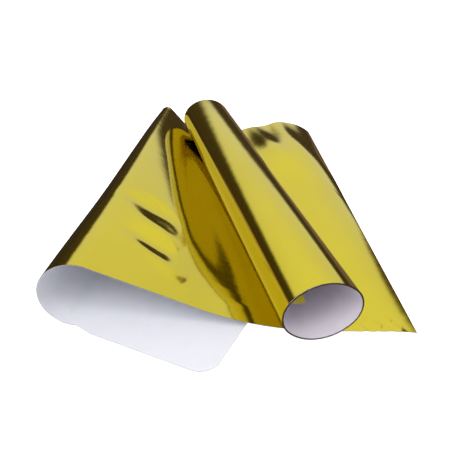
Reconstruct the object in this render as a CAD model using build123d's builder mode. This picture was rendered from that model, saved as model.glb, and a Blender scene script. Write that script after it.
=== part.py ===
"""A small roll of gold mirror sign vinyl resting on a loose, curled length of the same vinyl.

The loose sheet lies flat under the roll. Its left end rises, curls over and comes back under itself, so that its
white release liner faces up on the floor. +Z is up, and the origin is on the floor under the middle of the roll.
"""

from build123d import *
from math import atan, ceil, cos, degrees, hypot, radians, sin
import os

os.makedirs("parts", exist_ok=True)

# Layers, measured outward from the bare face of the liner
LINER = (0.0, 0.18)
ADHESIVE = (0.20, 0.38)
FILM = (0.40, 0.58)
STACK = 0.58  # the whole laminate
seam = 0.04  # gap at a line where the web bends

# Roll: a sagged oval of four 90 degree arcs, wound as a spiral
roll_length = 610.0  # standard 24 inch web
roll_skew = 15.0  # the roll lies askew on the sheet, degrees
half_width = 45.2
half_height = 37.0
pitch = 0.64  # one turn to the next
inner_end = 114.0  # where the web starts, degrees around the section
tail_root = 1178.0  # where the loose outer end leaves the roll
tail_end = 1220.0  # outer edge of the web
rest_gap = 0.15  # roll above the sheet

# Loose sheet: a near edge and a far edge, joined by straight rulings
near_y = -281.0
far_y = 319.0
NEAR = {"seam": 124.0, "foot": 78.0, "rise": 322.8, "slope": 24.1, "ramp": 120.0, "curl": 40.5, "toe": 25.0}
FAR = {"seam": -47.0, "foot": -92.2, "rise": 42.6, "slope": 49.8, "ramp": 40.1, "curl": 11.65, "toe": 12.0}
near_arch = (35.0, 60.4, 1.0)  # top of the arch from the seam, free edge from the seam, height
far_arch = (124.0, 178.0, 19.5)

# Free end of the sheet, lying liner up on the floor
flap_side = (-166.0, -294.2)
flap_corner = (-34.1, -350.8)
flap_kink = (32.0, -206.4)
flap_inner = (-107.0, 319.0)
lift_y = -287.0  # the free corner lifts about this line
peel_leg = 55.0  # legs of the liner corner that peels
corner_round = 23.0

# Folded corner at the inner end of the web: both ends of its crease, then its tip (across, up, depth)
EAR = ((-35.2, 17.9, 1.0), (-19.3, 29.4, 38.0), (-18.2, 11.2, 5.2))


def heading(angle):
    """Unit vector at an angle in degrees."""
    return Vector(cos(radians(angle)), sin(radians(angle)))


# ---------------------------------------------------------------- roll section
centre_offset = (half_width - half_height) / (2 - 2 ** 0.5)  # arc centres lie this far from the middle
side_radius = half_width - centre_offset
flat_radius = half_height + centre_offset
first_join = 45.0  # the first arc starts here


def spiral_arcs(start, end):
    """Centre, radius of the liner face, start and sweep of each arc of the spiral from start to end."""
    count = ceil((tail_end - first_join) / 90.0)
    centre = Vector(0, -centre_offset)
    previous = None
    arcs = []
    for k in range(count):
        low = first_join + 90.0 * k
        base = side_radius if k % 2 else flat_radius
        radius = base - STACK - pitch * (count - 1 - k) / 4
        if k > 0:
            centre = centre + heading(low) * (previous - radius)
        previous = radius
        first = max(start, low)
        last = min(end, low + 90.0)
        if last > first:
            arcs.append((centre, radius, first, last - first))
    return arcs


def spiral_face(start, end, layer):
    """Closed outline of one layer of the web between two angles of the spiral."""
    arcs = spiral_arcs(start, end)
    inner, outer = layer
    with BuildLine() as outline:
        for centre, radius, first, sweep in arcs:
            CenterArc(centre, radius + inner, first, sweep)
            CenterArc(centre, radius + outer, first, sweep)
        for (centre, radius, _, _), angle in ((arcs[0], start), (arcs[-1], end)):
            Line(centre + heading(angle) * (radius + inner), centre + heading(angle) * (radius + outer))
    make_face(outline.edges())


across = Vector(cos(radians(roll_skew)), sin(radians(roll_skew)), 0)
along = Vector(-sin(radians(roll_skew)), cos(radians(roll_skew)), 0)
bottom_angle = 270.0 + 360.0 * ((tail_end - 270.0) // 360.0)  # lowest point of the outermost turn
bottom_centre, bottom_radius, _, _ = spiral_arcs(bottom_angle, tail_end)[0]
roll_height = STACK + rest_gap + STACK + bottom_radius - bottom_centre.Y
mouth = Plane(origin=along * (-roll_length / 2) + Vector(0, 0, roll_height), x_dir=across, z_dir=-along)

with BuildPart() as roll_film:
    with BuildSketch(mouth):
        spiral_face(inner_end, tail_root, FILM)
    extrude(amount=-roll_length)

with BuildPart() as roll_adhesive:
    with BuildSketch(mouth):
        spiral_face(inner_end, tail_root, ADHESIVE)
    extrude(amount=-roll_length)

with BuildPart() as roll_liner:
    with BuildSketch(mouth):
        spiral_face(inner_end, tail_root, LINER)
    extrude(amount=-roll_length)

# ---------------------------------------------------------------- loose outer end of the roll
tail_start = tail_root + degrees(seam / flat_radius)

with BuildPart() as tail_film:
    with BuildSketch(mouth):
        spiral_face(tail_start, tail_end, FILM)
    extrude(amount=-roll_length)

with BuildPart() as tail_adhesive:
    with BuildSketch(mouth):
        spiral_face(tail_start, tail_end, ADHESIVE)
    extrude(amount=-roll_length)

with BuildPart() as tail_liner:
    with BuildSketch(mouth):
        spiral_face(tail_start, tail_end, LINER)
    extrude(amount=-roll_length)

# ---------------------------------------------------------------- folded inner corner
ear_points = [mouth.from_local_coords(Vector(x, y, -depth)) for x, y, depth in EAR]
ear_normal = (ear_points[2] - ear_points[0]).cross(ear_points[1] - ear_points[0]).normalized()
ear_plane = Plane(origin=ear_points[0], x_dir=ear_points[1] - ear_points[0], z_dir=ear_normal)
ear_local = [ear_plane.to_local_coords(point) for point in ear_points]
ear_outline = [(point.X, point.Y) for point in ear_local]

with BuildPart() as ear_film:
    with BuildSketch(ear_plane.offset(FILM[0])):
        Polygon(*ear_outline, align=None)
    extrude(amount=FILM[1] - FILM[0])

with BuildPart() as ear_adhesive:
    with BuildSketch(ear_plane.offset(ADHESIVE[0])):
        Polygon(*ear_outline, align=None)
    extrude(amount=ADHESIVE[1] - ADHESIVE[0])

with BuildPart() as ear_liner:
    with BuildSketch(ear_plane.offset(LINER[0])):
        Polygon(*ear_outline, align=None)
    extrude(amount=LINER[1] - LINER[0])


# ---------------------------------------------------------------- loose sheet
def edge_plane(y):
    """Upright plane across the sheet, seen from the near side."""
    return Plane(origin=(0, y, 0), x_dir=(1, 0, 0), z_dir=(0, -1, 0))


def web_face(start, direction, steps, layer, side):
    """Outline of one layer that starts on the floor and follows lines (length) and arcs (radius, turn)."""
    with BuildLine() as outline:
        starts = []
        ends = []
        for offset in layer:
            point = Vector(start, 0)
            angle = direction
            starts.append(point + heading(angle - 90 * side) * offset)
            for step in steps:
                normal = heading(angle - 90 * side)
                if len(step) == 1:
                    target = point + heading(angle) * step[0]
                    Line(point + normal * offset, target + normal * offset)
                    point = target
                    continue
                radius, turn = step
                away = 1 if turn * side > 0 else -1  # the film side is on the outside of this bend
                centre = point - normal * (away * radius)
                first = angle - 90 * side * away
                CenterArc(centre, radius + away * offset, first, turn)
                point = centre + heading(first + turn) * radius
                angle = angle + turn
            ends.append(point + heading(angle - 90 * side) * offset)
        Line(*starts)
        Line(*ends)
    make_face(outline.edges())


def curl_steps(edge):
    """Flat bed, rise, ramp, curl over the top, slope back down and toe on the floor."""
    slope = radians(edge["slope"])
    top = edge["rise"] * (1 - cos(slope)) + edge["ramp"] * sin(slope)
    drop = 2 * edge["curl"] * cos(slope) + edge["toe"] * (1 - cos(slope)) + STACK
    back = (top - drop) / sin(slope)
    return [
        (edge["seam"] - edge["foot"],),
        (edge["rise"], -edge["slope"]),
        (edge["ramp"],),
        (edge["curl"], 180.0),
        (back,),
        (edge["toe"], edge["slope"]),
    ]


def toe_x(edge):
    """Where the curl comes back to the floor."""
    slope = radians(edge["slope"])
    back = curl_steps(edge)[4][0]
    left = (edge["rise"] + 2 * edge["curl"] - edge["toe"]) * sin(slope) + (edge["ramp"] - back) * cos(slope)
    return edge["foot"] - left


def arch_steps(arch):
    """Shallow arch of two arcs that ends back on the floor."""
    crest, length, height = arch
    up = 2 * atan(height / crest)
    down = 2 * atan(height / (length - crest))
    top_radius = (length - crest) / sin(down)
    rise_radius = crest / sin(up) - top_radius
    return [(rise_radius, degrees(up)), (top_radius, -degrees(up + down))]


with BuildPart() as sheet_film:
    with BuildSketch(edge_plane(near_y)):
        web_face(NEAR["seam"], 180.0, curl_steps(NEAR), FILM, 1)
    with BuildSketch(edge_plane(far_y)):
        web_face(FAR["seam"], 180.0, curl_steps(FAR), FILM, 1)
    loft(ruled=True)

with BuildPart() as sheet_adhesive:
    with BuildSketch(edge_plane(near_y)):
        web_face(NEAR["seam"], 180.0, curl_steps(NEAR), ADHESIVE, 1)
    with BuildSketch(edge_plane(far_y)):
        web_face(FAR["seam"], 180.0, curl_steps(FAR), ADHESIVE, 1)
    loft(ruled=True)

with BuildPart() as sheet_liner:
    with BuildSketch(edge_plane(near_y)):
        web_face(NEAR["seam"], 180.0, curl_steps(NEAR), LINER, 1)
    with BuildSketch(edge_plane(far_y)):
        web_face(FAR["seam"], 180.0, curl_steps(FAR), LINER, 1)
    loft(ruled=True)

with BuildPart() as right_film:
    with BuildSketch(edge_plane(near_y)):
        web_face(NEAR["seam"] + seam, 0.0, arch_steps(near_arch), FILM, -1)
    with BuildSketch(edge_plane(far_y)):
        web_face(FAR["seam"] + seam, 0.0, arch_steps(far_arch), FILM, -1)
    loft(ruled=True)

with BuildPart() as right_adhesive:
    with BuildSketch(edge_plane(near_y)):
        web_face(NEAR["seam"] + seam, 0.0, arch_steps(near_arch), ADHESIVE, -1)
    with BuildSketch(edge_plane(far_y)):
        web_face(FAR["seam"] + seam, 0.0, arch_steps(far_arch), ADHESIVE, -1)
    loft(ruled=True)

with BuildPart() as right_liner:
    with BuildSketch(edge_plane(near_y)):
        web_face(NEAR["seam"] + seam, 0.0, arch_steps(near_arch), LINER, -1)
    with BuildSketch(edge_plane(far_y)):
        web_face(FAR["seam"] + seam, 0.0, arch_steps(far_arch), LINER, -1)
    loft(ruled=True)


# ---------------------------------------------------------------- free end of the sheet
def toward(point, target, distance):
    """A point at a distance from one point toward another."""
    share = distance / hypot(target[0] - point[0], target[1] - point[1])
    return (point[0] + (target[0] - point[0]) * share, point[1] + (target[1] - point[1]) * share)


def crossing(point, target, y):
    """Where the line between two points crosses a line of constant y."""
    share = (y - point[1]) / (target[1] - point[1])
    return (point[0] + (target[0] - point[0]) * share, y)


toe_near = (toe_x(NEAR) + seam, near_y)
toe_far = (toe_x(FAR) + seam, far_y)
lift_left = crossing(toe_near, flap_side, lift_y)
lift_right = crossing(flap_corner, flap_kink, lift_y)
flap_outline = [toe_near, lift_left, lift_right, flap_kink, flap_inner, toe_far]

with BuildPart() as flap_film:
    with BuildSketch(Plane.XY.offset(STACK - FILM[1])):
        Polygon(*flap_outline, align=None)
    extrude(amount=FILM[1] - FILM[0])

with BuildPart() as flap_adhesive:
    with BuildSketch(Plane.XY.offset(STACK - ADHESIVE[1])):
        Polygon(*flap_outline, align=None)
    extrude(amount=ADHESIVE[1] - ADHESIVE[0])

with BuildPart() as flap_liner:
    with BuildSketch(Plane.XY.offset(STACK - LINER[1])):
        Polygon(*flap_outline, align=None)
    extrude(amount=LINER[1] - LINER[0])

# ---------------------------------------------------------------- free corner and its peeling liner
corner_left = (lift_left[0], lift_y - seam)
corner_right = (lift_right[0], lift_y - seam)
peel_side = toward(flap_corner, flap_side, peel_leg)
peel_end = toward(flap_corner, flap_kink, peel_leg)
peel_line = Vector(peel_end[0] - peel_side[0], peel_end[1] - peel_side[1]).normalized()
peel_shift = Vector(peel_line.Y, -peel_line.X) * seam

with BuildPart() as corner_film:
    with BuildSketch(Plane.XY.offset(STACK - FILM[1])) as corner_sketch:
        Polygon(corner_left, flap_side, flap_corner, corner_right, align=None)
        fillet(corner_sketch.vertices().sort_by(Axis.Y)[0], corner_round)
    extrude(amount=FILM[1] - FILM[0])

with BuildPart() as corner_adhesive:
    with BuildSketch(Plane.XY.offset(STACK - ADHESIVE[1])) as corner_sketch:
        Polygon(corner_left, flap_side, flap_corner, corner_right, align=None)
        fillet(corner_sketch.vertices().sort_by(Axis.Y)[0], corner_round)
    extrude(amount=ADHESIVE[1] - ADHESIVE[0])

with BuildPart() as corner_liner:
    with BuildSketch(Plane.XY.offset(STACK - LINER[1])):
        Polygon(corner_left, flap_side, peel_side, peel_end, corner_right, align=None)
    extrude(amount=LINER[1] - LINER[0])

with BuildPart() as peeled_liner:
    with BuildSketch(Plane.XY.offset(STACK - LINER[1])) as peel_sketch:
        Polygon(
            (peel_side[0] + peel_shift.X, peel_side[1] + peel_shift.Y),
            flap_corner,
            (peel_end[0] + peel_shift.X, peel_end[1] + peel_shift.Y),
            align=None,
        )
        fillet(peel_sketch.vertices().sort_by(Axis.Y)[0], corner_round)
    extrude(amount=LINER[1] - LINER[0])

# ---------------------------------------------------------------- labels and files
pieces = {
    "roll_film": roll_film,
    "roll_adhesive": roll_adhesive,
    "roll_liner": roll_liner,
    "tail_film": tail_film,
    "tail_adhesive": tail_adhesive,
    "tail_liner": tail_liner,
    "ear_film": ear_film,
    "ear_adhesive": ear_adhesive,
    "ear_liner": ear_liner,
    "sheet_film": sheet_film,
    "sheet_adhesive": sheet_adhesive,
    "sheet_liner": sheet_liner,
    "right_film": right_film,
    "right_adhesive": right_adhesive,
    "right_liner": right_liner,
    "flap_film": flap_film,
    "flap_adhesive": flap_adhesive,
    "flap_liner": flap_liner,
    "corner_film": corner_film,
    "corner_adhesive": corner_adhesive,
    "corner_liner": corner_liner,
    "peeled_liner": peeled_liner,
}
for name, piece in pieces.items():
    piece.part.label = name
    export_step(piece.part, f"parts/{name}.step")
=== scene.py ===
"""Gold mirror sign vinyl: a coreless roll resting on a loose sheet whose left end curls under."""

import math

import bmesh
import bpy
import numpy as np
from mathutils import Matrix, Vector


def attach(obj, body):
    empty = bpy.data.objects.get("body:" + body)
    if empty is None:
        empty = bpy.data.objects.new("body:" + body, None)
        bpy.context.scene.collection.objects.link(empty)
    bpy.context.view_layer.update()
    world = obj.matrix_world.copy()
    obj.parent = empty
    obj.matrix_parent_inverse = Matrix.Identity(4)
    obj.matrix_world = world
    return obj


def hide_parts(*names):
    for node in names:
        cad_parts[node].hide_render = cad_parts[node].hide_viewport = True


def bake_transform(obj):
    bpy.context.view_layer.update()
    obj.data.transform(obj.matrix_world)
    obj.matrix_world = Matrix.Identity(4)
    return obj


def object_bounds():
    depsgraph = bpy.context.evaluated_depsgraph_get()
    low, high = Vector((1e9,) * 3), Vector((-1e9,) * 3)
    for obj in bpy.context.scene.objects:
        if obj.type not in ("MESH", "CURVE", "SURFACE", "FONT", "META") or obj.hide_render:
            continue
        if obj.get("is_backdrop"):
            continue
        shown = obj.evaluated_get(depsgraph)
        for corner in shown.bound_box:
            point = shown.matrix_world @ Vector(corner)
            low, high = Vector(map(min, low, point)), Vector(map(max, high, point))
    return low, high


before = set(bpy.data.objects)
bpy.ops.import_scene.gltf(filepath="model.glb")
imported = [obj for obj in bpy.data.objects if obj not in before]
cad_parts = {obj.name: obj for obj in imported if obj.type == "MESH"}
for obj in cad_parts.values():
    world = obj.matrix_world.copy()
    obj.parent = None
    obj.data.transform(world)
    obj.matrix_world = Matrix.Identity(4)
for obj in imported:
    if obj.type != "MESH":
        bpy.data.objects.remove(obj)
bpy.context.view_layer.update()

# ------------------------------------------------------------------ sizes of the web, in millimetres
MM = 0.001
STACK = 0.58  # thickness of the whole laminate
LINER = (0.0, 0.19)  # each layer from and to, above the liner face
ADHESIVE = (0.19, 0.39)
FILM = (0.39, 0.58)
ROLL_LENGTH = 610.0
ROLL_SKEW = math.radians(15.0)
HALF_WIDTH = 45.2
HALF_HEIGHT = 37.0
PITCH = 0.64
INNER_END = 114.0  # degrees along the spiral, as are the next two
TAIL_ROOT = 1178.0
TAIL_END = 1220.0
REST_GAP = 0.15  # air between the roll and the sheet under it
NEAR_Y = -281.0
FAR_Y = 319.0
# edge profiles: x of the seam and of the foot of the hump, radius and angle of its rise, its straight ramp,
# then the radii of the curl and of the toe that lands on the floor
NEAR = {"seam": 124.0, "foot": 78.0, "rise": 322.8, "slope": 24.1, "ramp": 120.0, "curl": 40.5, "toe": 25.0}
FAR = {"seam": -47.0, "foot": -92.2, "rise": 42.6, "slope": 49.8, "ramp": 40.1, "curl": 11.65, "toe": 12.0}
NEAR_ARCH = (35.0, 60.4, 1.0)  # crest, length and height of the right end
FAR_ARCH = (124.0, 178.0, 19.5)
# corners of the flap that lies liner up, from the curl's near end round to its hidden inner edge
FLAP_SIDE = (-166.0, -294.2)
FLAP_CORNER = (-34.1, -350.8)
FLAP_KINK = (32.0, -206.4)
FLAP_INNER = (-107.0, 319.0)
LIFT_Y = -287.0  # hinge line of the free corner
PEEL_LEG = 55.0  # from the corner to each end of the peel line
CORNER_ROUND = 23.0
# folded inner corner: two ends of its crease, then its tip, as across, up and in from the roll's near end
EAR = ((-35.2, 17.9, 1.0), (-19.3, 29.4, 38.0), (-18.2, 11.2, 5.2))
FIRST_JOIN = 45.0  # degrees, where the first arc of the spiral starts

# ------------------------------------------------------------------ how finely the surfaces are cut
CURL_COUNTS = (16, 90, 60, 56, 4, 16)  # one count for each line or arc of the profile
ARCH_COUNTS = (40, 60)
DEPTH_ROWS = 240
ROLL_ROWS = 40
ROLL_PER_DEGREE = 0.5
TAIL_PER_DEGREE = 1.0
EAR_STEPS = 13
FLAP_STRIP = 60.0
CORNER_STRIP = 2.0
PEEL_STRIP = 1.5
SHARP_RIM = 50.0  # degrees

# ------------------------------------------------------------------ how far each bend reaches past its hinge
EAR_SAG = 2.0


# ------------------------------------------------------------------ profiles of the loose sheet
def curl_steps(edge):
    """Lines (length,) and arcs (radius, turn in degrees) of the sheet from the seam to the toe of the curl."""
    slope = math.radians(edge["slope"])
    top = edge["rise"] * (1 - math.cos(slope)) + edge["ramp"] * math.sin(slope)
    drop = 2 * edge["curl"] * math.cos(slope) + edge["toe"] * (1 - math.cos(slope)) + STACK
    back = (top - drop) / math.sin(slope)
    return [
        (edge["seam"] - edge["foot"],),
        (edge["rise"], -edge["slope"]),
        (edge["ramp"],),
        (edge["curl"], 180.0),
        (back,),
        (edge["toe"], edge["slope"]),
    ]


def arch_steps(arch):
    """Two arcs of the shallow arch at the right end."""
    crest, length, height = arch
    up = 2 * math.atan(height / crest)
    down = 2 * math.atan(height / (length - crest))
    top_radius = (length - crest) / math.sin(down)
    rise_radius = crest / math.sin(up) - top_radius
    return [(rise_radius, math.degrees(up)), (top_radius, -math.degrees(up + down))]


def walk(start, direction, steps, side, counts):
    """Points (x, z), film-side normals and running length along an edge profile."""
    points, normals, lengths = [], [], []
    point = np.array([start, 0.0])
    angle = math.radians(direction)
    run = 0.0
    for index, (step, count) in enumerate(zip(steps, counts)):
        t = np.linspace(0, 1, count + 1)[min(index, 1):]
        normal = np.array([math.cos(angle - side * math.pi / 2), math.sin(angle - side * math.pi / 2)])
        if len(step) == 1:
            along = np.array([math.cos(angle), math.sin(angle)])
            points.append(point + np.outer(t * step[0], along))
            normals.append(np.tile(normal, (len(t), 1)))
            lengths.append(run + t * step[0])
            point = point + along * step[0]
            run += step[0]
            continue
        radius, turn = step[0], math.radians(step[1])
        away = 1 if turn * side > 0 else -1
        centre = point - normal * away * radius
        angles = angle - side * away * math.pi / 2 + turn * t
        rays = np.stack([np.cos(angles), np.sin(angles)], 1)
        points.append(centre + rays * radius)
        normals.append(rays * away)
        lengths.append(run + t * abs(turn) * radius)
        point = points[-1][-1]
        angle += turn
        run += abs(turn) * radius
    return np.concatenate(points), np.concatenate(normals), np.concatenate(lengths)


def ruled(near, far, rows):
    """Points, normals, running length and depth (0 near, 1 far) of the surface ruled between two edge profiles."""
    v = np.linspace(0, 1, rows + 1)[None, :, None]
    near_p = np.stack([near[0][:, 0], np.full(len(near[0]), NEAR_Y), near[0][:, 1]], 1)[:, None, :]
    far_p = np.stack([far[0][:, 0], np.full(len(far[0]), FAR_Y), far[0][:, 1]], 1)[:, None, :]
    near_n = np.stack([near[1][:, 0], np.zeros(len(near[1])), near[1][:, 1]], 1)[:, None, :]
    far_n = np.stack([far[1][:, 0], np.zeros(len(far[1])), far[1][:, 1]], 1)[:, None, :]
    points = near_p * (1 - v) + far_p * v
    normals = near_n * (1 - v) + far_n * v
    normals = normals / np.linalg.norm(normals, axis=-1, keepdims=True)
    length = near[2][:, None] * (1 - v[..., 0]) + far[2][:, None] * v[..., 0]
    return points, normals, length, np.broadcast_to(v[..., 0], length.shape)


# ------------------------------------------------------------------ meshes
def link_mesh(name, mesh, materials):
    """Object from a finished mesh, smooth but for its sharp rims."""
    for polygon in mesh.polygons:
        polygon.use_smooth = True
    mesh.set_sharp_from_angle(angle=math.radians(SHARP_RIM))
    for material in materials:
        mesh.materials.append(material)
    obj = bpy.data.objects.new(name, mesh)
    bpy.context.scene.collection.objects.link(obj)
    return obj


def slab(name, points, normals, layer, materials):
    """Thin closed layer over a grid of points, between two offsets along the normals; its rim is material 1."""
    columns, rows = points.shape[:2]
    lower = (points + normals * layer[0]).reshape(-1, 3)
    upper = (points + normals * layer[1]).reshape(-1, 3)
    verts = np.concatenate([lower, upper]) * MM
    base = columns * rows
    faces = []
    for i in range(columns - 1):
        for j in range(rows - 1):
            a = i * rows + j
            b, c, d = a + rows, a + rows + 1, a + 1
            faces.append((a, b, c, d))
            faces.append((base + a, base + d, base + c, base + b))
    wide_faces = len(faces)
    rim = [(i * rows, (i + 1) * rows) for i in range(columns - 1)]
    rim += [((columns - 1) * rows + j, (columns - 1) * rows + j + 1) for j in range(rows - 1)]
    rim += [((i + 1) * rows + rows - 1, i * rows + rows - 1) for i in reversed(range(columns - 1))]
    rim += [(j + 1, j) for j in reversed(range(rows - 1))]
    for a, b in rim:
        faces.append((a, base + a, base + b, b))
    mesh = bpy.data.meshes.new(name)
    mesh.from_pydata([tuple(p) for p in verts], [], faces)
    for polygon in mesh.polygons[wide_faces:]:
        polygon.material_index = 1
    return link_mesh(name, mesh, materials)


def flat_piece(name, outline, low, high, cut_from, cut_normal, spacing, materials):
    """Flat closed layer inside an outline, cut into strips so that it can bend along its hinge."""
    shape = bmesh.new()
    face = shape.faces.new([shape.verts.new((x * MM, y * MM, low * MM)) for x, y in outline])
    if face.normal.z > 0:
        face.normal_flip()
    reach = max(np.dot(np.array(p) - cut_from, cut_normal) for p in outline)
    for step in range(1, int(reach / spacing) + 1):
        at = (np.array(cut_from) + np.array(cut_normal) * spacing * step) * MM
        bmesh.ops.bisect_plane(
            shape,
            geom=shape.verts[:] + shape.edges[:] + shape.faces[:],
            plane_co=(at[0], at[1], 0),
            plane_no=(cut_normal[0], cut_normal[1], 0),
        )
    bottom = shape.faces[:]
    grown = bmesh.ops.extrude_face_region(shape, geom=bottom, use_keep_orig=True)
    top = [item for item in grown["geom"] if isinstance(item, bmesh.types.BMVert)]
    bmesh.ops.translate(shape, verts=top, vec=(0, 0, (high - low) * MM))
    bmesh.ops.recalc_face_normals(shape, faces=shape.faces[:])
    for face in shape.faces:
        face.material_index = 1 if abs(face.normal.z) < 0.5 else 0
    mesh = bpy.data.meshes.new(name)
    shape.to_mesh(mesh)
    shape.free()
    return link_mesh(name, mesh, materials)


# ------------------------------------------------------------------ materials
def node_material(name):
    """A new material with its node tree and its shader."""
    material = bpy.data.materials.new(name)
    material.use_nodes = True
    tree = material.node_tree
    return material, tree, tree.nodes["Principled BSDF"]


def noise_node(tree, vector, scale, detail):
    """Noise between 0 and 1 over a vector."""
    noise = tree.nodes.new("ShaderNodeTexNoise")
    noise.inputs["Scale"].default_value = scale
    noise.inputs["Detail"].default_value = detail
    tree.links.new(vector, noise.inputs["Vector"])
    return noise.outputs["Fac"]


def colour_ramp(tree, factor, low, high):
    """Colour that runs from low to high with a factor."""
    ramp = tree.nodes.new("ShaderNodeValToRGB")
    ramp.color_ramp.elements[0].color = (*low, 1)
    ramp.color_ramp.elements[1].color = (*high, 1)
    tree.links.new(factor, ramp.inputs["Fac"])
    return ramp.outputs["Color"]


def add_bump(tree, shader, height, strength, distance):
    """Fine relief of a material from a height between 0 and 1."""
    bump = tree.nodes.new("ShaderNodeBump")
    bump.inputs["Strength"].default_value = strength
    bump.inputs["Distance"].default_value = distance
    tree.links.new(height, bump.inputs["Height"])
    tree.links.new(bump.outputs["Normal"], shader.inputs["Normal"])


def gold_material():
    """Metallised gold film: mirror gloss with a faint tint change and slow waviness."""
    material, tree, shader = node_material("gold_mirror_film")
    coords = tree.nodes.new("ShaderNodeTexCoord").outputs["Object"]
    tint = colour_ramp(tree, noise_node(tree, coords, 9.0, 3.0), (0.63, 0.52, 0.030), (0.69, 0.585, 0.045))
    tree.links.new(tint, shader.inputs["Base Color"])
    shader.inputs["Metallic"].default_value = 1.0
    shader.inputs["Roughness"].default_value = 0.10
    shader.inputs["Coat Weight"].default_value = 0.18
    shader.inputs["Coat Roughness"].default_value = 0.06
    add_bump(tree, shader, noise_node(tree, coords, 38.0, 2.0), 0.10, 0.0012)
    return material


def paper_material(name, low, high):
    """Release liner: bluish white coated paper."""
    material, tree, shader = node_material(name)
    coords = tree.nodes.new("ShaderNodeTexCoord").outputs["Object"]
    fibre = noise_node(tree, coords, 60.0, 6.0)
    tree.links.new(colour_ramp(tree, fibre, low, high), shader.inputs["Base Color"])
    shader.inputs["Roughness"].default_value = 0.6
    add_bump(tree, shader, fibre, 0.05, 0.0005)
    return material


def adhesive_material():
    """Clear tacky adhesive over the back of the film."""
    material, tree, shader = node_material("clear_adhesive")
    coords = tree.nodes.new("ShaderNodeTexCoord").outputs["Object"]
    grain = noise_node(tree, coords, 120.0, 4.0)
    tint = colour_ramp(tree, grain, (0.55, 0.54, 0.50), (0.66, 0.65, 0.60))
    tree.links.new(tint, shader.inputs["Base Color"])
    shader.inputs["Roughness"].default_value = 0.25
    return material


def edge_and_rim_shade_material():
    """Cut edges of the film and adhesive, dark brown; on the wound liner's rims the same near black is painted
    shade in the roll's end.
    """
    material, tree, shader = node_material("cut_edge_and_painted_rim_shade")
    coords = tree.nodes.new("ShaderNodeTexCoord").outputs["Object"]
    grain = noise_node(tree, coords, 200.0, 2.0)
    tint = colour_ramp(tree, grain, (0.020, 0.014, 0.010), (0.045, 0.032, 0.020))
    tree.links.new(tint, shader.inputs["Base Color"])
    shader.inputs["Roughness"].default_value = 0.6
    return material


GOLD = gold_material()
PAPER = paper_material("release_liner_paper", (0.80, 0.81, 0.85), (0.86, 0.87, 0.91))
# darker, lilac copy of the liner paper for the wound turns: painted shade inside the roll
SHADED_WOUND_PAPER = paper_material("wound_liner_paper_painted_shade", (0.70, 0.66, 0.72), (0.77, 0.73, 0.79))
TACK = adhesive_material()
EDGE_AND_RIM_SHADE = edge_and_rim_shade_material()
LAYERS = (
    ("film", FILM, (GOLD, EDGE_AND_RIM_SHADE), "gold_film"),
    ("adhesive", ADHESIVE, (TACK, EDGE_AND_RIM_SHADE), "adhesive"),
    ("liner", LINER, (PAPER, PAPER), "release_liner"),
)

# ------------------------------------------------------------------ loose sheet: bed, rise and curl
near_profile = walk(NEAR["seam"], 180.0, curl_steps(NEAR), 1, CURL_COUNTS)
far_profile = walk(FAR["seam"], 180.0, curl_steps(FAR), 1, CURL_COUNTS)
points, normals, length, depth = ruled(near_profile, far_profile, DEPTH_ROWS)
toe_near = near_profile[0][-1][0]
toe_far = far_profile[0][-1][0]

# Waves and folds of the loose sheet: the line of each, as running length and distance from the near edge,
# then its first and last width and its height.
SHEET_RELIEF = (
    (((150, 590), (166, 450), (176, 330), (190, 240), (200, 160), (198, 90), (188, 10)), (32.0, 46.0), 8.0),
    (((104, 560), (110, 430), (118, 300), (122, 200), (126, 100), (128, 30)), (26.0, 26.0), -3.2),
    (((262, 184), (240, 178), (220, 170), (204, 164), (190, 164), (176, 168)), (9.0, 34.0), -6.8),
    (((250, 156), (232, 138), (214, 122), (198, 108), (182, 96)), (6.0, 26.0), 2.8),
    (((262, 102), (240, 99), (220, 93), (204, 88), (190, 88)), (9.0, 26.0), -5.2),
    (((250, 84), (232, 72), (214, 60), (198, 48), (184, 40)), (5.0, 18.0), 1.9),
    (((256, 360), (276, 200), (288, 90), (298, -40)), (34.0, 34.0), -1.6),
)
PATH_STEPS = 60  # samples between two points of a line
PATH_SMOOTHING = 200  # passes of smoothing along a line
OFF_BED = (60.0, 40.0)  # running length where the relief starts, and how long it takes to grow


def ridge(length, across, line, widths, height):
    """Height of a rounded ridge along a smooth line, tapering at both ends, with its first and last width."""
    knots = np.array(line, float)
    t = np.linspace(0, len(knots) - 1, PATH_STEPS * (len(knots) - 1) + 1)
    path = np.stack([np.interp(t, np.arange(len(knots)), knots[:, k]) for k in (0, 1)], 1)
    for _ in range(PATH_SMOOTHING):
        path[1:-1] = (path[:-2] + 2 * path[1:-1] + path[2:]) / 4
    taper = np.sin(np.pi * np.linspace(0, 1, len(path)))
    width = np.linspace(widths[0], widths[1], len(path))
    nearest = np.full(length.shape, np.inf)
    share = np.zeros(length.shape)
    for (s, y), amount, reach in zip(path, taper * width / max(widths), width):
        distance = ((length - s) ** 2 + (across - y) ** 2) / reach**2
        closer = distance < nearest
        nearest[closer] = distance[closer]
        share[closer] = amount
    return height * share * np.exp(-nearest)


def relief(length, depth, ridges):
    """Sum of all ridges over a ruled surface."""
    return sum(ridge(length, depth * (FAR_Y - NEAR_Y), *values) for values in ridges)


off_bed = np.clip((length - OFF_BED[0]) / OFF_BED[1], 0, 1)
points = points + normals * (relief(length, depth, SHEET_RELIEF) * off_bed)[..., None]

for suffix, layer, materials, slot in LAYERS:
    piece = slab(f"loose_sheet_{suffix}", points, normals, layer, materials)
    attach(piece, "loose_sheet")
    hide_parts(f"sheet_{suffix}")

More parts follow.
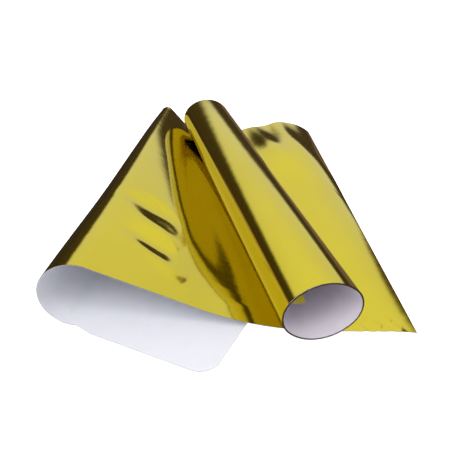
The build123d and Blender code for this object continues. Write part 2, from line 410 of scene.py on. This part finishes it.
# ------------------------------------------------------------------ right end
near_profile = walk(NEAR["seam"], 0.0, arch_steps(NEAR_ARCH), -1, ARCH_COUNTS)
far_profile = walk(FAR["seam"], 0.0, arch_steps(FAR_ARCH), -1, ARCH_COUNTS)
points, normals, length, depth = ruled(near_profile, far_profile, DEPTH_ROWS)
RIGHT_RELIEF = (
    (((-90, 440), (-10, 450), (50, 456), (100, 458), (150, 452)), (95.0, 80.0), 12.0),
    (((56, 680), (62, 580), (68, 480), (70, 380)), (16.0, 16.0), 3.4),
    (((118, 680), (112, 560), (108, 480), (100, 400)), (14.0, 14.0), 2.6),
)
RIGHT_RISE = 60.0  # running length over which the relief grows, so that both sides of the seam meet
rise = np.clip(length / RIGHT_RISE, 0, 1)
points = points + normals * (relief(length, depth, RIGHT_RELIEF) * rise**2 * (3 - 2 * rise))[..., None]


def wave(along, across, pitch, sway, sway_pitch):
    """A sine wave along one way whose phase sways with the other."""
    return np.sin(along * pitch + sway * np.sin(across * sway_pitch))


# small crumples along the near edge of the right end, right of the roll's mouth
CRUMPLE_HEIGHT = 0.8
CRUMPLE_REACH = 17.0  # how far they run in from the edge
CRUMPLE_START = 6.0  # running length over which they grow
CRUMPLE_STOP = (52.0, 14.0)  # running length where they end, and how long they take to fade
CRUMPLE_BIAS = 0.25
from_edge = depth * (FAR_Y - NEAR_Y)
crumple = wave(length, from_edge, 0.30, 1.2, 0.19) * wave(from_edge, length, 0.24, 0.8, 0.17)
crumple = np.clip(crumple + CRUMPLE_BIAS, 0, None) * np.exp(-((from_edge / CRUMPLE_REACH) ** 2))
crumple = crumple * np.clip(length / CRUMPLE_START, 0, 1)
crumple = crumple * np.clip((CRUMPLE_STOP[0] - length) / CRUMPLE_STOP[1], 0, 1)
points = points + normals * (CRUMPLE_HEIGHT * crumple)[..., None]

seam_direction = np.array([FAR["seam"] - NEAR["seam"], FAR_Y - NEAR_Y])
seam_direction = seam_direction / np.linalg.norm(seam_direction)

for suffix, layer, materials, slot in LAYERS:
    piece = slab(f"right_end_{suffix}", points, normals, layer, materials)
    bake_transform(piece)
    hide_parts(f"right_{suffix}")

# ------------------------------------------------------------------ roll
CENTRE_OFFSET = (HALF_WIDTH - HALF_HEIGHT) / (2 - math.sqrt(2))
SIDE_RADIUS = HALF_WIDTH - CENTRE_OFFSET
FLAT_RADIUS = HALF_HEIGHT + CENTRE_OFFSET
ACROSS = np.array([math.cos(ROLL_SKEW), math.sin(ROLL_SKEW), 0.0])
ALONG = np.array([-math.sin(ROLL_SKEW), math.cos(ROLL_SKEW), 0.0])
UP = np.array([0.0, 0.0, 1.0])


def ray(angle):
    """Unit vector at an angle in degrees."""
    return np.array([math.cos(math.radians(angle)), math.sin(math.radians(angle))])


def spiral_arcs(start, end):
    """Centre, radius of the liner face, first and last angle of each arc of the wound web."""
    count = math.ceil((TAIL_END - FIRST_JOIN) / 90.0)
    centre = np.array([0.0, -CENTRE_OFFSET])
    previous = None
    arcs = []
    for k in range(count):
        low = FIRST_JOIN + 90.0 * k
        base = SIDE_RADIUS if k % 2 else FLAT_RADIUS
        radius = base - STACK - PITCH * (count - 1 - k) / 4
        if k:
            centre = centre + ray(low) * (previous - radius)
        previous = radius
        first, last = max(start, low), min(end, low + 90.0)
        if last > first:
            arcs.append((centre, radius, first, last))
    return arcs


def roll_grid(start, end, per_degree, rows):
    """Points and normals of the liner face of the wound web between two angles."""
    section, rays = [], []
    for centre, radius, first, last in spiral_arcs(start, end):
        count = max(2, int((last - first) * per_degree))
        angles = np.radians(np.linspace(first, last, count + 1))[min(len(section), 1):]
        rays.append(np.stack([np.cos(angles), np.sin(angles)], 1))
        section.append(centre + rays[-1] * radius)
    flat = np.concatenate(section)[:, None, :]
    normal = np.concatenate(rays)[:, None, :]
    v = np.linspace(-ROLL_LENGTH / 2, ROLL_LENGTH / 2, rows + 1)[None, :, None]
    points = flat[..., 0:1] * ACROSS + (flat[..., 1:2] + ROLL_HEIGHT) * UP + v * ALONG
    normals = normal[..., 0:1] * ACROSS + normal[..., 1:2] * UP + v * 0
    return points, normals


bottom_angle = 270.0 + 360.0 * ((TAIL_END - 270.0) // 360.0)
bottom_centre, bottom_radius, _, _ = spiral_arcs(bottom_angle, TAIL_END)[0]
ROLL_HEIGHT = STACK + REST_GAP + STACK + bottom_radius - bottom_centre[1]

points, normals = roll_grid(INNER_END, TAIL_ROOT, ROLL_PER_DEGREE, ROLL_ROWS)
for suffix, layer, materials, slot in LAYERS:
    # the wound liner gets the darker paper and the near black edge colour: painted shade inside and at the end of
    # the roll
    materials = (SHADED_WOUND_PAPER, EDGE_AND_RIM_SHADE) if suffix == "liner" else materials
    piece = slab(f"wound_{suffix}", points, normals, layer, materials)
    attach(piece, "roll")
    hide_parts(f"roll_{suffix}")

points, normals = roll_grid(TAIL_ROOT, TAIL_END, TAIL_PER_DEGREE, ROLL_ROWS)
for suffix, layer, materials, slot in LAYERS:
    piece = slab(f"outer_end_{suffix}", points, normals, layer, materials)
    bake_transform(piece)
    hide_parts(f"tail_{suffix}")

# ------------------------------------------------------------------ folded inner corner
ear_points = [
    ACROSS * x + UP * (y + ROLL_HEIGHT) + ALONG * (d - ROLL_LENGTH / 2) for x, y, d in EAR
]
ear_normal = np.cross(ear_points[2] - ear_points[0], ear_points[1] - ear_points[0])
ear_normal = ear_normal / np.linalg.norm(ear_normal)
t = np.linspace(0, 1, EAR_STEPS)[:, None, None]
s = np.linspace(0, 1, EAR_STEPS)[None, :, None]
crease_line = ear_points[0] * (1 - s) + ear_points[1] * s
points = crease_line * (1 - t) + ear_points[2] * t - ear_normal * EAR_SAG * np.sin(np.pi * t) * (1 - t)
points = points[:-1]  # the tip itself is left off, so that no face has zero width
normals = np.broadcast_to(ear_normal, points.shape)
for suffix, layer, materials, slot in LAYERS:
    piece = slab(f"folded_corner_{suffix}", points, normals, layer, materials)
    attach(piece, "inner_corner")
    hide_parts(f"ear_{suffix}")


# ------------------------------------------------------------------ free end on the floor
def crossing(point, target, y):
    """Where the line between two points crosses a line of constant y."""
    share = (y - point[1]) / (target[1] - point[1])
    return (point[0] + (target[0] - point[0]) * share, y)


def toward(point, target, distance):
    """A point at a distance from one point toward another."""
    share = distance / math.dist(point, target)
    return (point[0] + (target[0] - point[0]) * share, point[1] + (target[1] - point[1]) * share)


def rounded(before, corner, after, radius, steps=12):
    """Arc that rounds a corner of an outline."""
    a = np.array(toward(corner, before, 1.0)) - corner
    b = np.array(toward(corner, after, 1.0)) - corner
    half = math.acos(np.dot(a, b)) / 2
    centre = np.array(corner) + (a + b) / np.linalg.norm(a + b) * radius / math.sin(half)
    first = np.array(corner) + a * radius / math.tan(half) - centre
    last = np.array(corner) + b * radius / math.tan(half) - centre
    arc = []
    for k in range(steps + 1):
        mix = first * (1 - k / steps) + last * (k / steps)
        arc.append(tuple(centre + mix / np.linalg.norm(mix) * radius))
    return arc


lift_left = crossing((toe_near, NEAR_Y), FLAP_SIDE, LIFT_Y)
lift_right = crossing(FLAP_CORNER, FLAP_KINK, LIFT_Y)
flap_outline = [(toe_near, NEAR_Y), lift_left, lift_right, FLAP_KINK, FLAP_INNER, (toe_far, FAR_Y)]
round_corner = rounded(FLAP_SIDE, FLAP_CORNER, FLAP_KINK, CORNER_ROUND)
corner_outline = [lift_left, FLAP_SIDE, *round_corner, lift_right]
peel_side = toward(FLAP_CORNER, FLAP_SIDE, PEEL_LEG)
peel_end = toward(FLAP_CORNER, FLAP_KINK, PEEL_LEG)
peel_line = np.array(peel_end) - np.array(peel_side)
peel_normal = np.array([peel_line[1], -peel_line[0]]) / np.linalg.norm(peel_line)


def upside_down(layer):
    """Heights of a layer where the sheet lies liner up."""
    return STACK - layer[1], STACK - layer[0]


for suffix, layer, materials, slot in LAYERS:
    low, high = upside_down(layer)
    piece = flat_piece(f"free_end_{suffix}", flap_outline, low, high, (0, 0), (0, 1), FLAP_STRIP, materials)
    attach(piece, "loose_sheet")
    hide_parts(f"flap_{suffix}")
    outline = corner_outline
    if suffix == "liner":
        outline = [lift_left, FLAP_SIDE, peel_side, peel_end, lift_right]
    start = np.array([(lift_left[0] + lift_right[0]) / 2, LIFT_Y])
    piece = flat_piece(f"free_corner_{suffix}", outline, low, high, start, (0, -1), CORNER_STRIP, materials)
    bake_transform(piece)
    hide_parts(f"corner_{suffix}")

low, high = upside_down(LINER)
outline = [peel_side, *round_corner, peel_end]
piece = flat_piece("peeling_liner", outline, low, high, peel_side, peel_normal, PEEL_STRIP, (PAPER, PAPER))
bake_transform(piece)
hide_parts("peeled_liner")

# ------------------------------------------------------------------ stage
FLOOR_Z = -0.0005  # metres, just under the sheet
FLOOR_GLOW = 0.8  # seen by the camera only
floor_corners = [(x, y, FLOOR_Z) for x, y in ((-4, -4), (4, -4), (4, 6), (-4, 6))]
floor_mesh = bpy.data.meshes.new("floor")
floor_mesh.from_pydata(floor_corners, [], [(0, 1, 2, 3)])
floor = bpy.data.objects.new("floor", floor_mesh)
bpy.context.scene.collection.objects.link(floor)
floor_material, floor_tree, floor_shader = node_material("pale_floor")
floor_shader.inputs["Base Color"].default_value = (0.9, 0.9, 0.9, 1)
floor_shader.inputs["Roughness"].default_value = 0.9
floor_shader.inputs["Emission Color"].default_value = (1, 1, 1, 1)
floor_path = floor_tree.nodes.new("ShaderNodeLightPath")
floor_glow = floor_tree.nodes.new("ShaderNodeMath")
floor_glow.operation = "MULTIPLY"
floor_glow.inputs[1].default_value = FLOOR_GLOW
floor_tree.links.new(floor_path.outputs["Is Camera Ray"], floor_glow.inputs[0])
floor_tree.links.new(floor_glow.outputs["Value"], floor_shader.inputs["Emission Strength"])
floor_mesh.materials.append(floor_material)
floor.visible_glossy = False
floor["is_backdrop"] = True

# The studio that the film mirrors, and the soft fill that lights everything else. Angles are in degrees:
# azimuth from straight ahead toward the right, and elevation.
LIGHT_EDGE = 15.5  # mean elevation of the lower edge of the light
LIGHT_DROP = 8.0  # how far that edge is above the mean at the left and below it at the right
LIGHT_BLUR = (-1.5, 3.5)
SWING_AT = -5.0  # azimuth where the edge passes its mean
SWING_WIDTH = 15.0
BULGE_AT = 8.0  # azimuth where the edge bulges up
BULGE_WIDTH = 8.0
BULGE_HEIGHT = 4.0
BAND_EDGE = 2.5  # the same for the lower edge of the dark band under the light
BAND_DROP = 6.0
BAND_BLUR = (-1.0, 3.0)
WARM_FADE = (-50.0, -40.0)  # azimuths between which each colour turns into the next
BROWN_FADE = (-8.0, 8.0)
CEILING_FADE = (15.0, 50.0)
PANEL_LEFT = (28.5, 31.0)
PANEL_RIGHT = (38.0, 46.0)
PANEL_TOP = (42.0, 55.0)
WARM_FLOOR = (0.55, 0.36, 0.18)
DARK_FLOOR = (0.045, 0.032, 0.022)
BROWN_FLOOR = (0.19, 0.125, 0.09)
DARK_BAND = (0.060, 0.042, 0.026)
DARK_PANEL = (0.10, 0.07, 0.045)
CEILING_EDGE = (0.86, 0.86, 0.90)
CEILING = (1.02, 1.02, 1.0)
SOFT_FILL = (0.965, 0.955, 1.0)
SOFT_FILL_STRENGTH = 0.71
world = bpy.data.worlds.new("studio")
bpy.context.scene.world = world
world.use_nodes = True
tree = world.node_tree
tree.nodes.clear()


def maths(operation, *inputs):
    """One math node; each input is a number or another node's output."""
    node = tree.nodes.new("ShaderNodeMath")
    node.operation = operation
    for index, value in enumerate(inputs):
        if isinstance(value, (int, float)):
            node.inputs[index].default_value = value
        else:
            tree.links.new(value, node.inputs[index])
    return node.outputs["Value"]


def soft_step(value, low, high):
    """0 below low, 1 above high, smooth between."""
    node = tree.nodes.new("ShaderNodeMapRange")
    node.interpolation_type = "SMOOTHSTEP"
    for name, limit in (("Value", value), ("From Min", low), ("From Max", high)):
        if isinstance(limit, (int, float)):
            node.inputs[name].default_value = limit
        else:
            tree.links.new(limit, node.inputs[name])
    return node.outputs["Result"]


def fade_out(value, low, high):
    """1 below low, 0 above high, smooth between."""
    return soft_step(maths("MULTIPLY", value, -1.0), -high, -low)


def mix_colour(factor, first, second):
    """Colour that runs from first to second with a factor."""
    node = tree.nodes.new("ShaderNodeMix")
    node.data_type = "RGBA"
    tree.links.new(factor, node.inputs["Factor"])
    for socket, colour in ((node.inputs[6], first), (node.inputs[7], second)):
        if isinstance(colour, tuple):
            socket.default_value = (*colour, 1)
        else:
            tree.links.new(colour, socket)
    return node.outputs[2]


def background(colour, strength):
    """Background shader of a colour, or of another node's colour."""
    node = tree.nodes.new("ShaderNodeBackground")
    node.inputs["Strength"].default_value = strength
    if isinstance(colour, tuple):
        node.inputs["Color"].default_value = (*colour, 1)
    else:
        tree.links.new(colour, node.inputs["Color"])
    return node.outputs["Background"]


split = tree.nodes.new("ShaderNodeSeparateXYZ")
tree.links.new(tree.nodes.new("ShaderNodeTexCoord").outputs["Generated"], split.inputs["Vector"])
elevation = maths("DEGREES", maths("ARCSINE", split.outputs["Z"]))
azimuth = maths("DEGREES", maths("ARCTAN2", split.outputs["X"], split.outputs["Y"]))
# the light starts lower on the right than on the left, with a low bulge right of straight ahead
swing = maths("TANH", maths("DIVIDE", maths("SUBTRACT", azimuth, SWING_AT), SWING_WIDTH))
horizon = maths("MULTIPLY_ADD", swing, -LIGHT_DROP, LIGHT_EDGE)
off_bulge = maths("DIVIDE", maths("SUBTRACT", azimuth, BULGE_AT), BULGE_WIDTH)
bulge = maths("POWER", 2.718, maths("MULTIPLY", maths("POWER", off_bulge, 2.0), -1.0))
horizon = maths("MULTIPLY_ADD", bulge, BULGE_HEIGHT, horizon)
lit = soft_step(maths("SUBTRACT", elevation, horizon), *LIGHT_BLUR)
# under it comes a dark band, then what lies low: warm at the far left, near black, and brown at the right
low_colour = mix_colour(soft_step(azimuth, *WARM_FADE), WARM_FLOOR, DARK_FLOOR)
low_colour = mix_colour(soft_step(azimuth, *BROWN_FADE), low_colour, BROWN_FLOOR)
band_edge = maths("MULTIPLY_ADD", swing, -BAND_DROP, BAND_EDGE)
under_band = soft_step(maths("SUBTRACT", band_edge, elevation), *BAND_BLUR)
dim = mix_colour(under_band, DARK_BAND, low_colour)
ceiling = mix_colour(soft_step(elevation, *CEILING_FADE), CEILING_EDGE, CEILING)
# a tall dark panel at the right
panel = soft_step(azimuth, *PANEL_LEFT)
panel = maths("MULTIPLY", panel, fade_out(azimuth, *PANEL_RIGHT))
panel = maths("MULTIPLY", panel, fade_out(elevation, *PANEL_TOP))
ceiling = mix_colour(panel, ceiling, DARK_PANEL)
studio = background(mix_colour(lit, dim, ceiling), 1.0)
soft = background(SOFT_FILL, SOFT_FILL_STRENGTH)
plain = background((1.0, 1.0, 1.0), 1.0)
path = tree.nodes.new("ShaderNodeLightPath")


def choose(test, otherwise, chosen):
    """One shader for the rays that a light path test picks, another for the rest."""
    node = tree.nodes.new("ShaderNodeMixShader")
    tree.links.new(path.outputs[test], node.inputs["Fac"])
    tree.links.new(otherwise, node.inputs[1])
    tree.links.new(chosen, node.inputs[2])
    return node.outputs["Shader"]


out = tree.nodes.new("ShaderNodeOutputWorld")
seen = choose("Is Camera Ray", choose("Is Glossy Ray", soft, studio), plain)
tree.links.new(seen, out.inputs["Surface"])

KEY_POWER = 16.0
KEY_SIZE = 1.0
KEY_PLACE = (-0.35, -1.1, 1.5)
KEY_AIM = (-0.05, -0.1, 0.0)
light_data = bpy.data.lights.new("key_softbox", "AREA")
light_data.energy = KEY_POWER
light_data.size = KEY_SIZE
light = bpy.data.objects.new("key_softbox", light_data)
light.location = KEY_PLACE
light.rotation_euler = (Vector(KEY_AIM) - light.location).to_track_quat("-Z", "Y").to_euler()
light.visible_glossy = False
bpy.context.scene.collection.objects.link(light)

# ------------------------------------------------------------------ camera
SENSOR = 36.0
FRAME_PIXELS = 450.0
FOCAL_PIXELS = 517.48
CAMERA_PLACE = (-0.0079, -0.7053, 0.3845)
CAMERA_DOWN = 30.844  # degrees below level
CAMERA_LEFT = 1.9  # degrees left of straight along +Y
camera_data = bpy.data.cameras.new("camera")
camera_data.sensor_width = SENSOR
camera_data.lens = SENSOR * FOCAL_PIXELS / FRAME_PIXELS
camera_data.clip_end = 50.0
camera = bpy.data.objects.new("camera", camera_data)
camera.location = CAMERA_PLACE
camera.rotation_euler = (math.radians(90.0 - CAMERA_DOWN), 0, math.radians(CAMERA_LEFT))
bpy.context.scene.collection.objects.link(camera)
bpy.context.scene.camera = camera
bpy.context.scene.view_settings.view_transform = "Standard"

low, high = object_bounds()
